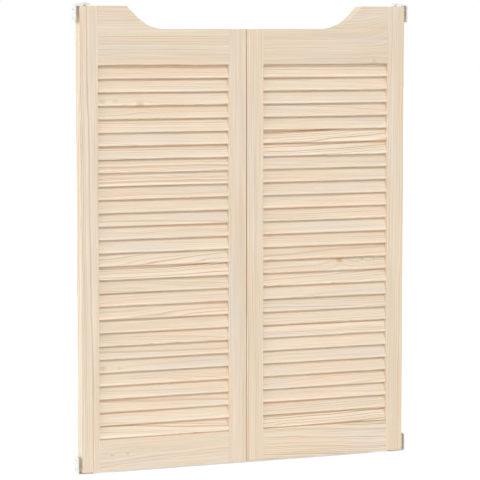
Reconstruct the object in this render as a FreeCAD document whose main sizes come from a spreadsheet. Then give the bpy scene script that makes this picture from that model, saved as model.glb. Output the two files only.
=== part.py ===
import FreeCAD
import Part

import os
import re

import Sketcher
from FreeCAD import Rotation, Vector

# A pair of louvred cafe doors. Each leaf is a frame of two stiles and two rails, doweled
# together, with fixed slats let into the stiles. The leaf turns on a sprung pivot at its
# foot and a drop pin at its head, both held by brackets on the door jamb.
#
# Frame: millimetres, +X to the right along the doorway, +Y through it to the back, +Z up.
# The origin is under the gap between the leaves, midway through their thickness, level
# with the underside of the lower brackets. The right leaf is built, and the left leaf is
# its mirror image.

doc = FreeCAD.newDocument("CafeDoors")

# ------------------------------------------------------------------ driving dimensions

SIZES = [
    ("leaf_tall", 1067, "a leaf, foot to head of its outer stile"),
    ("leaf_wide", 405.75, "a leaf, edge to edge"),
    ("leaf_thick", 32, "stiles and rails, front to back"),
    ("centre_gap", 1.5, "between the two leaves"),
    ("stile_wide", 42.8, "face of a stile"),
    ("edge_ease", 0.6, "rounding of the outer arrises"),
    ("opening_ease", 1.5, "rounding of the arrises around the slats"),
    ("joint_bevel", 0.4, "bevel of the arrises where two boards meet"),
    ("bottom_rail_tall", 73.5, "bottom rail"),
    ("scoop_tall", 1014, "foot of the leaf to the flat of the scoop"),
    ("scoop_flat", 200, "half the flat of the scoop, from the middle of the pair"),
    ("scoop_bend", 100, "radius of the bend beside the flat"),
    ("scoop_angle", 45, "slope of the scoop above the bend"),
    ("slat_count", 28, "slats in a leaf"),
    ("slat_pitch", 30.6, "slat to slat, straight up"),
    ("slat_lift", 1.5, "lowest slat above the bottom rail"),
    ("slat_wide", 44.5, "slat, edge to edge along its slope"),
    ("slat_thick", 6.4, "slat"),
    ("slat_tilt", 22, "slat from upright"),
    ("slat_recess", 2.5, "front of a slat behind the front of the stile"),
    ("slat_tongue", 5.5, "end of a slat inside a stile"),
    ("slot_play", 0.15, "room around a slat in its slot"),
    ("dowel_radius", 4, "dowel"),
    ("dowel_in_stile", 13, "dowel inside a stile"),
    ("dowel_in_rail", 27, "dowel inside a rail"),
    ("dowel_play", 0.05, "room around a dowel"),
    ("dowel_room", 1, "room past the end of a dowel"),
    ("dowel_bevel", 0.8, "chamfer on the dowel ends"),
    ("dowel_foot_low", 35, "lower dowel of the bottom rail, above the foot"),
    ("dowel_foot_high", 59, "upper dowel of the bottom rail"),
    ("dowel_head_low", 955, "lowest dowel of the top rail"),
    ("dowel_head_mid", 992, "second dowel of the top rail"),
    ("dowel_head_high", 1029, "third dowel, at the outer stile only"),
    ("pivot_inset", 17, "pivot line from the outer edge of the leaf"),
    ("jamb_gap", 7.5, "outer edge of the leaf to the bracket beside it"),
    ("plate_thick", 3, "bracket"),
    ("plate_wide", 26, "bracket, front to back"),
    ("plate_leg", 42, "bracket along the jamb"),
    ("plate_corner", 5, "corners of the leg"),
    ("plate_tip", 12, "rounding of the shelf's free end"),
    ("bend_inside", 2, "inside radius of the bracket's bend"),
    ("jamb_hole", 2.5, "radius of a screw hole in the leg"),
    ("jamb_sink", 4.3, "radius of its countersink"),
    ("jamb_hole_low", 13, "near screw hole from the shelf"),
    ("jamb_hole_high", 33, "far screw hole from the shelf"),
    ("pin_radius", 4, "pivot pins"),
    ("pin_play", 0.05, "running clearance around a pin"),
    ("pin_head", 6.5, "countersunk head of the lower pin, radius"),
    ("pin_head_tall", 2.5, "countersunk head of the lower pin"),
    ("pin_reach", 59, "lower pin inside the leaf"),
    ("pin_point", 1, "chamfer on the pin ends"),
    ("cap_radius", 7, "head of the drop pin, radius"),
    ("cap_tall", 2, "head of the drop pin"),
    ("cap_bevel", 1, "chamfer round the head of the drop pin"),
    ("drop_reach", 20, "drop pin inside the leaf"),
    ("washer_radius", 10, "thrust washer"),
    ("washer_thick", 1.5, "thrust washer"),
    ("head_gap", 2, "head of the leaf to the upper bracket"),
    ("shoe_thick", 2.5, "plate of the pivot shoe"),
    ("shoe_wide", 22, "plate of the pivot shoe, front to back"),
    ("shoe_outer", 10.5, "end of the shoe outside the pivot line"),
    ("shoe_inner", 62, "end of the shoe inside the pivot line"),
    ("shoe_play", 0.1, "room around the shoe"),
    ("barrel_radius", 8, "spring barrel"),
    ("barrel_bore", 6.7, "inside of the spring barrel"),
    ("barrel_tall", 60, "spring barrel inside the leaf"),
    ("bush_radius", 6.68, "bushes of the barrel"),
    ("bush_tall", 8, "bushes of the barrel"),
    ("bush_high", 50, "upper bush above the foot of the leaf"),
    ("coil_radius", 5.5, "return spring, middle of its wire"),
    ("wire_radius", 0.7, "wire of the return spring"),
    ("coil_pitch", 2.6, "return spring, turn to turn"),
    ("coil_low", 12, "foot of the spring above the foot of the leaf"),
    ("coil_tall", 36.4, "return spring, first turn to last"),
    ("tang_in_bush", 2, "upper end of the spring inside its bush"),
    ("tang_play", 0.3, "room around the spring's upper end in its bush"),
    ("shoe_screw", 1.75, "radius of a shoe screw"),
    ("shoe_screw_head", 3.5, "radius of its head"),
    ("shoe_screw_long", 22, "length of a shoe screw"),
    ("shoe_screw_point", 3.5, "its pointed end"),
    ("screw_play", 0.05, "room around a screw"),
    ("screw_first", 17, "first shoe screw from the pivot line"),
    ("screw_second", 36, "second shoe screw"),
    ("screw_third", 54, "third shoe screw"),
    ("socket_radius", 6, "socket bush in the head of the leaf"),
    ("socket_tall", 22, "socket bush"),
    ("socket_flange", 10, "radius of its flange"),
    ("socket_flange_thick", 1.5, "its flange"),
    ("socket_play", 0.05, "room around the socket bush"),
]

sheet = doc.addObject("Spreadsheet::Sheet", "Sizes")
for row, (name, amount, meaning) in enumerate(SIZES, start=1):
    sheet.set(f"A{row}", name)
    sheet.set(f"B{row}", str(amount))
    sheet.set(f"C{row}", meaning)
    sheet.setAlias(f"B{row}", name)
doc.recompute()

ALIASES = re.compile(r"\b(" + "|".join(name for name, _, _ in SIZES) + r")\b")

# Places that several pieces share, as formulas of the sheet's sizes.
LEAF_FOOT = "(plate_thick + washer_thick)"
LEAF_HEAD = f"({LEAF_FOOT} + leaf_tall)"
RAIL_START = "(centre_gap / 2 + stile_wide)"
RAIL_LONG = "(leaf_wide - 2 * stile_wide)"
RAIL_END = f"({RAIL_START} + {RAIL_LONG})"
PIVOT = "(centre_gap / 2 + leaf_wide - pivot_inset)"
OPENING_TALL = "(slat_lift + slat_count * slat_pitch)"
OPENING_HEAD = f"(bottom_rail_tall + {OPENING_TALL})"
PIN_BORE = "(pin_radius + pin_play)"

FOOT_DOWELS = ["dowel_foot_low", "dowel_foot_high"]
HEAD_DOWELS = ["dowel_head_low", "dowel_head_mid"]
OUTER_DOWELS = HEAD_DOWELS + ["dowel_head_high"]
SHOE_SCREWS = ["screw_first", "screw_second", "screw_third"]
SLATS_PER_NODE = 2
COUNTERSINK_ANGLE = 90
CLOSE = 0.01
LEAST_CUT = 1e-6


def formula(words):
    """The words with each size's name written as the sheet's cell."""
    return ALIASES.sub(r"Sizes.\1", words)


def amount_of(words):
    """What the words come to now, as a number."""
    return float(sheet.evalExpression(formula(words)))


def bind(thing, setting, words):
    """Ties one property of an object to the sheet."""
    thing.setExpression(setting, formula(words))


def place(thing, x="0", y="0", z="0"):
    """Ties an object's position to the sheet."""
    for axis, words in (("x", x), ("y", y), ("z", z)):
        bind(thing, f".Placement.Base.{axis}", words)


# ------------------------------------------------------------------ sketches and features


def new_body(label):
    """An empty PartDesign body with the piece's name."""
    body = doc.addObject("PartDesign::Body", label)
    body.Label = label
    return body


def new_sketch(body, role, offset="0"):
    """A sketch on one of the body's own planes, moved along its normal by offset."""
    plane = next(item for item in body.Origin.OriginFeatures if item.Role == role)
    sketch = body.newObject("Sketcher::SketchObject", f"{body.Name}_sketch")
    sketch.AttachmentSupport = [(plane, "")]
    sketch.MapMode = "FlatFace"
    bind(sketch, ".AttachmentOffset.Base.z", offset)
    return sketch


def pin_down(sketch, kind, edge, end, words):
    """Holds one coordinate of an edge's end at a formula."""
    index = sketch.addConstraint(
        Sketcher.Constraint(kind, -1, 1, edge, end, amount_of(words))
    )
    name = f"{kind}_{index}"
    sketch.renameConstraint(index, name)
    bind(sketch, f"Constraints.{name}", words)


def arc_through(start, end, radius, clockwise):
    """The short arc between two points, as the sketcher's anticlockwise arc."""
    if clockwise:
        start, end = end, start
    chord = end - start
    middle = (start + end) * 0.5
    depth = max(radius**2 - (chord.Length / 2) ** 2, 0.0) ** 0.5
    inward = Vector(-chord.y, chord.x, 0).normalize()
    centre = middle + inward * depth
    first = Vector(1, 0, 0).getAngle(start - centre)
    last = Vector(1, 0, 0).getAngle(end - centre)
    if start.y < centre.y:
        first = -first
    if end.y < centre.y:
        last = -last
    circle = Part.Circle(centre, Vector(0, 0, 1), radius)
    return Part.ArcOfCircle(circle, first, last)


def outline(sketch, points, arcs=None):
    """A closed outline. Points are pairs of formulas, and arcs gives, for the edge that
    starts at a point's number, its radius and whether it runs clockwise. An arc whose
    radius is None is a half circle."""
    arcs = arcs or {}
    places = [Vector(amount_of(x), amount_of(y), 0) for x, y in points]
    edges = []
    for number, start in enumerate(places):
        end = places[(number + 1) % len(places)]
        if number in arcs:
            words, clockwise = arcs[number]
            radius = amount_of(words) if words else (end - start).Length / 2
            arc = arc_through(start, end, radius, clockwise)
            edge = sketch.addGeometry(arc)
            edges.append((edge, 2, 1) if clockwise else (edge, 1, 2))
        else:
            edge = sketch.addGeometry(Part.LineSegment(start, end))
            edges.append((edge, 1, 2))
    for number, (edge, _, last) in enumerate(edges):
        follower, first, _ = edges[(number + 1) % len(edges)]
        sketch.addConstraint(
            Sketcher.Constraint("Coincident", edge, last, follower, first)
        )
    for (edge, first, _), (x, y) in zip(edges, points):
        pin_down(sketch, "DistanceX", edge, first, x)
        pin_down(sketch, "DistanceY", edge, first, y)
    for number, (radius, _) in arcs.items():
        edge = edges[number][0]
        if radius:
            round_edge(sketch, edge, radius)
        else:
            sketch.addConstraint(Sketcher.Constraint("Symmetric", edge, 1, edge, 2, edge, 3))


def round_edge(sketch, edge, radius):
    """Ties the radius of an arc or a circle to the sheet."""
    index = sketch.addConstraint(
        Sketcher.Constraint("Radius", edge, amount_of(radius))
    )
    sketch.renameConstraint(index, f"Radius_{index}")
    bind(sketch, f"Constraints.Radius_{index}", radius)


def rectangle(sketch, x_low, y_low, x_high, y_high):
    """A rectangle between two corners."""
    corners = [(x_low, y_low), (x_high, y_low), (x_high, y_high), (x_low, y_high)]
    outline(sketch, corners)


def circle(sketch, x, y, radius):
    """A circle about a point."""
    centre = Vector(amount_of(x), amount_of(y), 0)
    ring = Part.Circle(centre, Vector(0, 0, 1), amount_of(radius))
    edge = sketch.addGeometry(ring)
    pin_down(sketch, "DistanceX", edge, 3, x)
    pin_down(sketch, "DistanceY", edge, 3, y)
    round_edge(sketch, edge, radius)


def pad(body, sketch, length, reverse=False, both_ways=False):
    """Grows a sketch into a solid."""
    feature = body.newObject("PartDesign::Pad", f"{body.Name}_pad")
    feature.Profile = sketch
    bind(feature, "Length", length)
    feature.Reversed = reverse
    if both_ways:
        feature.SideType = "Symmetric"
    doc.recompute()
    return feature


def pocket(body, sketch, depth, reverse=False):
    """Cuts a sketch into the solid, and stops if nothing was cut."""
    before = body.Shape.Volume
    feature = body.newObject("PartDesign::Pocket", f"{body.Name}_pocket")
    feature.Profile = sketch
    bind(feature, "Length", depth)
    feature.Reversed = reverse
    doc.recompute()
    check_cut(feature, before)
    return feature


def check_cut(feature, before):
    """Stops if a cutting feature left the solid as large as it was."""
    if not feature.Shape.Volume < before - LEAST_CUT:
        raise RuntimeError(f"{feature.Name} cuts nothing")


def repeat(body, feature, role, length, count):
    """Repeats a feature along one of the body's axes."""
    before = body.Shape.Volume
    axis = next(item for item in body.Origin.OriginFeatures if item.Role == role)
    pattern = body.newObject("PartDesign::LinearPattern", f"{body.Name}_pattern")
    pattern.Originals = [feature]
    pattern.Direction = (axis, [""])
    bind(pattern, "Length", length)
    bind(pattern, "Occurrences", count)
    body.Tip = pattern
    doc.recompute()
    check_cut(pattern, before)
    return pattern


def ease(body, radius, wanted):
    """Rounds the edges of the solid that the test picks out."""
    base = body.Tip
    names = [
        f"Edge{number}"
        for number, edge in enumerate(base.Shape.Edges, start=1)
        if wanted(edge)
    ]
    feature = body.newObject("PartDesign::Fillet", f"{body.Name}_ease")
    feature.Base = (base, names)
    bind(feature, "Radius", radius)
    doc.recompute()
    return feature


def chamfer(body, size, wanted):
    """Bevels the edges of the solid that the test picks out."""
    base = body.Tip
    names = [
        f"Edge{number}"
        for number, edge in enumerate(base.Shape.Edges, start=1)
        if wanted(edge)
    ]
    feature = body.newObject("PartDesign::Chamfer", f"{body.Name}_chamfer")
    feature.Base = (base, names)
    bind(feature, "Size", size)
    doc.recompute()
    return feature


def revolve(body, points):
    """Turns a closed outline of distance and height about the body's Z axis."""
    sketch = new_sketch(body, "XZ_Plane")
    outline(sketch, points)
    axis = next(item for item in body.Origin.OriginFeatures if item.Role == "Z_Axis")
    feature = body.newObject("PartDesign::Revolution", f"{body.Name}_turned")
    feature.Profile = sketch
    feature.ReferenceAxis = (axis, [""])
    feature.Angle = 360
    doc.recompute()
    return feature


def ends(edge):
    """The two end points of an edge."""
    return edge.Vertexes[0].Point, edge.Vertexes[-1].Point


def near(first, second):
    """Whether two lengths are the same for the choosing of edges."""
    return abs(first - second) < CLOSE


def copies(label, blank, places):
    """Copies of one blank, each at its own place, joined into one named group."""
    links = []
    for number, (x, y, z) in enumerate(places, start=1):
        link = doc.addObject("App::Link", f"{label}_{number}")
        link.LinkedObject = blank
        place(link, x, y, z)
        links.append(link)
    group = doc.addObject("Part::Compound", label)
    group.Label = label
    group.Links = links
    doc.recompute()
    return group


# ------------------------------------------------------------------ slats


def slat_outline(sketch, lowest, play="0"):
    """The slat's section, a flat bar with round edges that leans back at the top, on a
    plane of distance through the door and height. Lowest is the height of its foot."""
    half = "(slat_thick / 2)"
    reach = "(slat_wide - slat_thick)"
    low_y = f"(slat_recess + {half} - leaf_thick / 2)"
    low_z = f"({lowest} + {half})"
    high_y = f"({low_y} + {reach} * sin(slat_tilt))"
    high_z = f"({low_z} + {reach} * cos(slat_tilt))"
    side_y = f"({half} + {play}) * cos(slat_tilt)"
    side_z = f"({half} + {play}) * sin(slat_tilt)"
    points = [
        (f"{low_y} - {side_y}", f"{low_z} + {side_z}"),
        (f"{low_y} + {side_y}", f"{low_z} - {side_z}"),
        (f"{high_y} + {side_y}", f"{high_z} - {side_z}"),
        (f"{high_y} - {side_y}", f"{high_z} + {side_z}"),
    ]
    outline(sketch, points, {0: (None, False), 2: (None, False)})


def make_slat_blank():
    """One slat, standing at its slope, with its left end and foot at the origin."""
    body = new_body("slat_blank")
    sketch = new_sketch(body, "YZ_Plane")
    slat_outline(sketch, "0")
    pad(body, sketch, f"{RAIL_LONG} + 2 * slat_tongue")
    return body


def make_slats(side):
    """All slats of a leaf from the head down, a few to a node."""
    blank = make_slat_blank()
    total = int(amount_of("slat_count"))
    groups = []
    for first in range(1, total + 1, SLATS_PER_NODE):
        numbers = range(first, first + SLATS_PER_NODE)
        places = [
            (
                f"{RAIL_START} - slat_tongue",
                "0",
                f"{LEAF_FOOT} + {OPENING_HEAD} - {number} * slat_pitch",
            )
            for number in numbers
        ]
        label = f"{side}_slats_{numbers[0]:02d}_{numbers[-1]:02d}"
        groups.append(copies(label, blank, places))
    return groups


# ------------------------------------------------------------------ frame of a leaf


def make_stile(label, x, tall, outward, dowels):
    """A stile, with the origin of its body at the foot of the face that meets the rails.
    Outward is 1 where the stile lies on the +X side of that face, and -1 where it
    lies on the other. Dowels lists the heights of its dowel holes."""
    body = new_body(label)
    place(body, x=x, z=LEAF_FOOT)
    far = f"{outward} * stile_wide"
    low, high = ("0", far) if outward > 0 else (far, "0")
    section = new_sketch(body, "XY_Plane")
    rectangle(section, low, "-leaf_thick / 2", high, "leaf_thick / 2")
    pad(body, section, tall)
    ease(body, "edge_ease", lambda edge: any(not near(p.x, 0) for p in ends(edge)))
    bevel_joint(body, "0", outward)
    round_opening(body, outward)
    cut_slat_slots(body, outward)
    holes = new_sketch(body, "YZ_Plane")
    for height in dowels:
        circle(holes, "0", height, "dowel_radius + dowel_play")
    pocket(body, holes, "dowel_in_stile + dowel_room", reverse=outward > 0)
    return body


def bevel_joint(body, x, inward):
    """Bevels the front and back arrises of a face that meets another board, so that the
    joint shows as a fine V. Inward is 1 where the board lies on the +X side of that
    face, and -1 where it lies on the other."""
    cutter = new_sketch(body, "XY_Plane")
    for face in (-1, 1):
        surface = f"{face} * leaf_thick / 2"
        below = f"{face} * (leaf_thick / 2 - joint_bevel)"
        points = [(x, below), (f"{x} + {inward} * joint_bevel", surface), (x, surface)]
        outline(cutter, points)
    pocket(body, cutter, "leaf_tall", reverse=True)


def round_opening(body, outward):
    """Rounds the front and back arrises of a stile between the rails."""
    cutter = new_sketch(body, "XY_Plane", "bottom_rail_tall")
    inside = f"{outward} * opening_ease"
    for face in (-1, 1):
        surface = f"{face} * leaf_thick / 2"
        below = f"{face} * (leaf_thick / 2 - opening_ease)"
        points = [("0", below), (inside, surface), ("0", surface)]
        clockwise = outward * face > 0
        outline(cutter, points, {0: ("opening_ease", clockwise)})
    pocket(body, cutter, OPENING_TALL, reverse=True)


def cut_slat_slots(body, outward):
    """Cuts the row of slanted slots that the slats' ends sit in."""
    slot = new_sketch(body, "YZ_Plane")
    slat_outline(slot, "(bottom_rail_tall + slat_lift)", "slot_play")
    depth = "slat_tongue + slot_play"
    first = pocket(body, slot, depth, reverse=outward > 0)
    repeat(body, first, "Z_Axis", "(slat_count - 1) * slat_pitch", "slat_count")


def make_outer_stile(side):
    """The stile on the hinge side, bored for the spring barrel and the socket bush."""
    body = make_stile(
        f"{side}_outer_stile", RAIL_END, "leaf_tall", 1, FOOT_DOWELS + OUTER_DOWELS
    )
    pivot = "(stile_wide - pivot_inset)"
    foot = new_sketch(body, "XY_Plane")
    circle(foot, pivot, "0", "barrel_radius + shoe_play")
    pocket(body, foot, "barrel_tall + dowel_room", reverse=True)
    recess = new_sketch(body, "XY_Plane")
    half = "(shoe_wide / 2 + shoe_play)"
    rectangle(recess, "0", f"-{half}", f"{pivot} + shoe_outer + shoe_play", half)
    pocket(body, recess, "shoe_thick", reverse=True)
    screw = new_sketch(body, "XY_Plane")
    circle(screw, f"{pivot} - screw_first", "0", "shoe_screw + screw_play")
    pocket(body, screw, "shoe_screw_long + dowel_room", reverse=True)
    head = new_sketch(body, "XY_Plane", "leaf_tall")
    circle(head, pivot, "0", "socket_radius + socket_play")
    pocket(body, head, "socket_tall + dowel_room")
    flange = new_sketch(body, "XY_Plane", "leaf_tall")
    circle(flange, pivot, "0", "socket_flange + socket_play")
    pocket(body, flange, "socket_flange_thick")
    return body


def make_meeting_stile(side):
    """The stile beside the middle gap, as tall as the flat of the scoop."""
    return make_stile(
        f"{side}_meeting_stile", RAIL_START, "scoop_tall", -1, FOOT_DOWELS + HEAD_DOWELS
    )


def on_a_face(edge):
    """Whether an edge lies along the front or back of a rail, and not on its ends."""
    first, last = ends(edge)
    half = amount_of("leaf_thick / 2")
    flat = near(abs(first.y), half) and near(first.y, last.y)
    return flat and not near(first.x, last.x)


def bore_rail(body, outer_dowels, inner_dowels):
    """Bores the dowel holes in both ends of a rail."""
    depth = "dowel_in_rail + dowel_room"
    near_end = new_sketch(body, "YZ_Plane")
    for height in inner_dowels:
        circle(near_end, "0", height, "dowel_radius + dowel_play")
    pocket(body, near_end, depth, reverse=True)
    far_end = new_sketch(body, "YZ_Plane", RAIL_LONG)
    for height in outer_dowels:
        circle(far_end, "0", height, "dowel_radius + dowel_play")
    pocket(body, far_end, depth)


def make_top_rail(side):
    """The top rail, with the flat, bend and slope of the scoop, and a groove in its
    underside for the upper edge of the first slat."""
    body = new_body(f"{side}_top_rail")
    place(body, x=RAIL_START, z=LEAF_FOOT)
    bend_x = f"(scoop_flat - {RAIL_START})"
    slope_x = f"({bend_x} + scoop_bend * sin(scoop_angle))"
    slope_z = "(scoop_tall + scoop_bend * (1 - cos(scoop_angle)))"
    corner_x = f"({slope_x} + (leaf_tall - {slope_z}) / tan(scoop_angle))"
    face = new_sketch(body, "XZ_Plane")
    points = [
        ("0", OPENING_HEAD),
        (RAIL_LONG, OPENING_HEAD),
        (RAIL_LONG, "leaf_tall"),
        (corner_x, "leaf_tall"),
        (slope_x, slope_z),
        (bend_x, "scoop_tall"),
        ("0", "scoop_tall"),
    ]
    outline(face, points, {4: ("scoop_bend", True)})
    pad(body, face, "leaf_thick", both_ways=True)
    middle = amount_of(f"{OPENING_HEAD} + scoop_tall") / 2
    ease(body, "edge_ease", lambda edge: on_a_face(edge) and ends(edge)[0].z > middle)
    ease(body, "opening_ease", lambda edge: on_a_face(edge) and ends(edge)[0].z < middle)
    groove = new_sketch(body, "YZ_Plane")
    slat_outline(groove, f"({OPENING_HEAD} - slat_pitch)", "slot_play")
    pocket(body, groove, RAIL_LONG, reverse=True)
    bevel_joint(body, "0", 1)
    bevel_joint(body, RAIL_LONG, -1)
    bore_rail(body, OUTER_DOWELS, HEAD_DOWELS)
    return body


def make_bottom_rail(side):
    """The bottom rail, with the inner end of the pivot shoe let into its underside."""
    body = new_body(f"{side}_bottom_rail")
    place(body, x=RAIL_START, z=LEAF_FOOT)
    face = new_sketch(body, "XZ_Plane")
    rectangle(face, "0", "0", RAIL_LONG, "bottom_rail_tall")
    pad(body, face, "leaf_thick", both_ways=True)
    middle = amount_of("bottom_rail_tall / 2")
    ease(body, "edge_ease", lambda edge: on_a_face(edge) and ends(edge)[0].z < middle)
    ease(body, "opening_ease", lambda edge: on_a_face(edge) and ends(edge)[0].z > middle)
    pivot = f"({PIVOT} - {RAIL_START})"
    recess = new_sketch(body, "XY_Plane")
    half = "(shoe_wide / 2 + shoe_play)"
    rectangle(recess, f"{pivot} - shoe_inner - shoe_play", f"-{half}", RAIL_LONG, half)
    pocket(body, recess, "shoe_thick", reverse=True)
    screws = new_sketch(body, "XY_Plane")
    for distance in SHOE_SCREWS[1:]:
        circle(screws, f"{pivot} - {distance}", "0", "shoe_screw + screw_play")
    pocket(body, screws, "shoe_screw_long + dowel_room", reverse=True)
    bevel_joint(body, "0", 1)
    bevel_joint(body, RAIL_LONG, -1)
    bore_rail(body, FOOT_DOWELS, FOOT_DOWELS)
    return body


def make_dowels(side):
    """The dowels of a leaf, half in the stiles and half in the rails."""
    blank = new_body("dowel_blank")
    section = new_sketch(blank, "YZ_Plane")
    circle(section, "0", "0", "dowel_radius")
    pad(blank, section, "dowel_in_stile + dowel_in_rail")
    chamfer(blank, "dowel_bevel", lambda edge: edge.isClosed())
    outer = f"{RAIL_END} - dowel_in_rail"
    inner = f"{RAIL_START} - dowel_in_stile"
    places = [(outer, "0", f"{LEAF_FOOT} + {z}") for z in FOOT_DOWELS + OUTER_DOWELS]
    places += [(inner, "0", f"{LEAF_FOOT} + {z}") for z in FOOT_DOWELS + HEAD_DOWELS]
    return copies(f"{side}_dowels", blank, places)


# ------------------------------------------------------------------ pivots


def make_bracket(label, z, flip, bore, sink):
    """An angle bracket, with its origin on the pivot line at the outer face of the shelf.
    The shelf lies across the end of the leaf and the leg lies along the jamb. Flip turns
    it over for the head of the leaf. Sink is the radius of the pin's countersink."""
    body = new_body(label)
    face = new_sketch(body, "XZ_Plane")
    leg_in = "(pivot_inset + jamb_gap)"
    leg_out = f"({leg_in} + plate_thick)"
    tip = "(-plate_wide / 2)"
    outside = "(bend_inside + plate_thick)"
    points = [
        (tip, "0"),
        (f"{leg_out} - {outside}", "0"),
        (leg_out, outside),
        (leg_out, "plate_leg"),
        (leg_in, "plate_leg"),
        (leg_in, "plate_thick + bend_inside"),
        (f"{leg_in} - bend_inside", "plate_thick"),
        (tip, "plate_thick"),
    ]
    outline(face, points, {1: (outside, False), 5: ("bend_inside", True)})
    pad(body, face, "plate_wide", both_ways=True)
    tip_x = amount_of(tip)
    leg_z = amount_of("plate_leg")

    def at_tip(edge):
        return all(near(point.x, tip_x) for point in ends(edge)) and upright(edge)

    def at_leg_corner(edge):
        first, last = ends(edge)
        return near(first.z, leg_z) and near(last.z, leg_z) and near(first.y, last.y)

    ease(body, "plate_tip", at_tip)
    ease(body, "plate_corner", at_leg_corner)
    pin_hole = new_sketch(body, "XY_Plane")
    circle(pin_hole, "0", "0", bore)
    pocket(body, pin_hole, "plate_thick", reverse=True)
    if sink:
        chamfer(body, f"{sink} - {bore}", lambda edge: rim(edge, amount_of(bore), 0))
    drill_leg(body, leg_in)
    if flip:
        body.Placement.Rotation = Rotation(Vector(1, 0, 0), 180)
    place(body, x=PIVOT, z=z)
    return body


def upright(edge):
    """Whether a straight edge runs up and down."""
    first, last = ends(edge)
    return near(first.x, last.x) and near(first.y, last.y)


def rim(edge, radius, height):
    """Whether an edge is the rim of a round hole at a height."""
    return (
        isinstance(edge.Curve, Part.Circle)
        and near(edge.Curve.Radius, radius)
        and near(edge.Curve.Center.z, height)
    )


def drill_leg(body, leg_in):
    """Drills and countersinks the two screw holes in the leg of a bracket."""
    before = body.Shape.Volume
    spots = new_sketch(body, "YZ_Plane", leg_in)
    for height in ("jamb_hole_low", "jamb_hole_high"):
        circle(spots, "0", height, "jamb_hole")
    doc.recompute()
    hole = body.newObject("PartDesign::Hole", f"{body.Name}_screw_holes")
    hole.Profile = spots
    doc.recompute()
    hole.DepthType = "ThroughAll"
    hole.Reversed = True
    bind(hole, "Diameter", "2 * jamb_hole")
    hole.HoleCutType = "Countersink"
    hole.HoleCutCustomValues = True
    bind(hole, "HoleCutDiameter", "2 * jamb_sink")
    hole.HoleCutCountersinkAngle = COUNTERSINK_ANGLE
    doc.recompute()
    check_cut(hole, before)


def make_lower_pin(side):
    """The pin that carries the leaf. Its countersunk head sits in the lower bracket, and a
    cross hole takes the foot of the spring."""
    body = new_body(f"{side}_lower_pivot_pin")
    top = f"({LEAF_FOOT} + pin_reach)"
    revolve(
        body,
        [
            ("0", "0"),
            ("pin_head", "0"),
            ("pin_radius", "pin_head_tall"),
            ("pin_radius", f"{top} - pin_point"),
            ("pin_radius - pin_point", top),
            ("0", top),
        ],
    )
    hole = new_sketch(body, "YZ_Plane", "-pin_radius")
    circle(hole, "0", f"{LEAF_FOOT} + coil_low", "wire_radius + slot_play")
    pocket(body, hole, "2 * pin_radius", reverse=True)
    place(body, x=PIVOT)
    return body


def make_washer(side):
    """The thrust washer between the lower bracket and the pivot shoe."""
    body = new_body(f"{side}_thrust_washer")
    ring = new_sketch(body, "XY_Plane")
    circle(ring, "0", "0", "washer_radius")
    circle(ring, "0", "0", PIN_BORE)
    pad(body, ring, "washer_thick")
    place(body, x=PIVOT, z="plate_thick")
    return body


def make_shoe(side):
    """The pivot shoe: a plate under the leaf with the spring barrel standing on it."""
    body = new_body(f"{side}_pivot_shoe")
    half = "(shoe_wide / 2)"
    plate = new_sketch(body, "XY_Plane")
    rectangle(plate, "-shoe_inner", f"-{half}", "shoe_outer", half)
    pad(body, plate, "shoe_thick")
    ease(body, "plate_corner", upright)
    tube = new_sketch(body, "XY_Plane")
    circle(tube, "0", "0", "barrel_radius")
    pad(body, tube, "barrel_tall")
    bore = new_sketch(body, "XY_Plane")
    circle(bore, "0", "0", "barrel_bore")
    pocket(body, bore, "barrel_tall", reverse=True)
    screws = new_sketch(body, "XY_Plane")
    for distance in SHOE_SCREWS:
        circle(screws, f"-{distance}", "0", "shoe_screw + screw_play")
    pocket(body, screws, "shoe_thick", reverse=True)
    hole = amount_of("shoe_screw + screw_play")
    chamfer(body, "shoe_screw_head - shoe_screw", lambda edge: rim(edge, hole, 0))
    place(body, x=PIVOT, z=LEAF_FOOT)
    return body


def make_bushes(side):
    """The two bushes in the spring barrel, each with a small hole for the spring's end."""
    blank = new_body("bush_blank")
    ring = new_sketch(blank, "XY_Plane")
    circle(ring, "0", "0", "bush_radius")
    circle(ring, "0", "0", PIN_BORE)
    pad(blank, ring, "bush_tall")
    eye = new_sketch(blank, "XY_Plane")
    circle(eye, "coil_radius", "0", "wire_radius + tang_play")
    pocket(blank, eye, "bush_tall / 2", reverse=True)
    places = [(PIVOT, "0", LEAF_FOOT), (PIVOT, "0", f"{LEAF_FOOT} + bush_high")]
    return copies(f"{side}_barrel_bushes", blank, places)


def make_spring(side):
    """The torsion spring around the pin. Its lower end runs through the pin's cross hole
    and its upper end stands up into the upper bush."""
    helix = doc.addObject("Part::Helix", "spring_line")
    bind(helix, "Radius", "coil_radius")
    bind(helix, "Pitch", "coil_pitch")
    bind(helix, "Height", "coil_tall")
    wire = doc.addObject("Part::Circle", "spring_wire")
    bind(wire, "Radius", "wire_radius")
    wire.Placement.Rotation = Rotation(Vector(1, 0, 0), 90)
    place(wire, x="coil_radius")
    coil = doc.addObject("Part::Sweep", "spring_coil")
    coil.Sections = [wire]
    coil.Spine = (helix, ["Edge1"])
    coil.Solid = True
    coil.Frenet = True
    foot = doc.addObject("Part::Cylinder", "spring_foot")
    bind(foot, "Radius", "wire_radius")
    bind(foot, "Height", "coil_radius + pin_radius")
    foot.Placement.Rotation = Rotation(Vector(0, 1, 0), -90)
    place(foot, x="coil_radius")
    tang = doc.addObject("Part::Cylinder", "spring_tang")
    bind(tang, "Radius", "wire_radius")
    bind(tang, "Height", "bush_high - coil_low - coil_tall + tang_in_bush")
    place(tang, x="coil_radius", z="coil_tall")
    whole = doc.addObject("Part::MultiFuse", f"{side}_return_spring")
    whole.Label = f"{side}_return_spring"
    whole.Shapes = [coil, foot, tang]
    place(whole, x=PIVOT, z=f"{LEAF_FOOT} + coil_low")
    doc.recompute()
    return whole


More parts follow.
